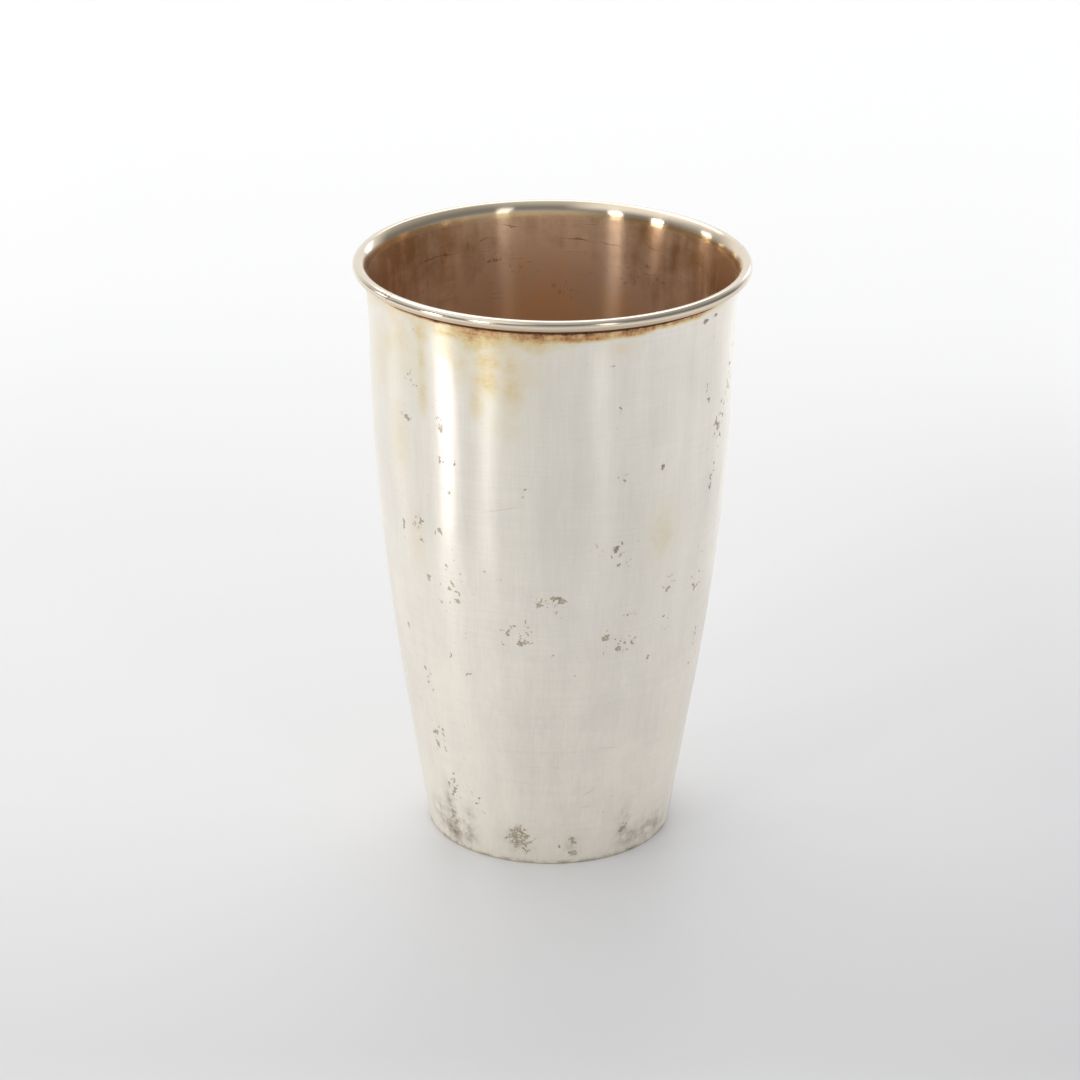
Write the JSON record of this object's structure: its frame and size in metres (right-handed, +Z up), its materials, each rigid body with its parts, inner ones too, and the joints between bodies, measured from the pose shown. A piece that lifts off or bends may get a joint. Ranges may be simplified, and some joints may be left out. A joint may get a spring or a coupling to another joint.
{
  "type": "silver beaker",
  "caption": "Footless tapered silver beaker with an everted lip, a half-round bead round its mouth and a flat soldered base; a plain open drinking cup.",
  "frame": {"origin": "centre of the beaker's flat base, on the surface it stands on", "axes": "+Z up along the beaker's axis, -Y towards the side that the picture shows"},
  "size_m": [0.0782, 0.0782, 0.12],
  "materials": {
    "satin_silver": "satin silver outside with fine brushing, pits and straw-coloured tarnish, browned inside",
    "worn_silver": "worn satin silver with rubbed marks",
    "polished_silver": "polished silver with a few pits",
    "tarnished_solder": "dark brown tarnished solder",
    "browned_solder": "browned solder"
  },
  "bodies": {
    "root": {"side_wall": "satin_silver", "base_disc": "worn_silver", "rim_wire": "polished_silver", "rim_solder": "tarnished_solder", "base_solder": "browned_solder"}
  },
  "joints": []
}
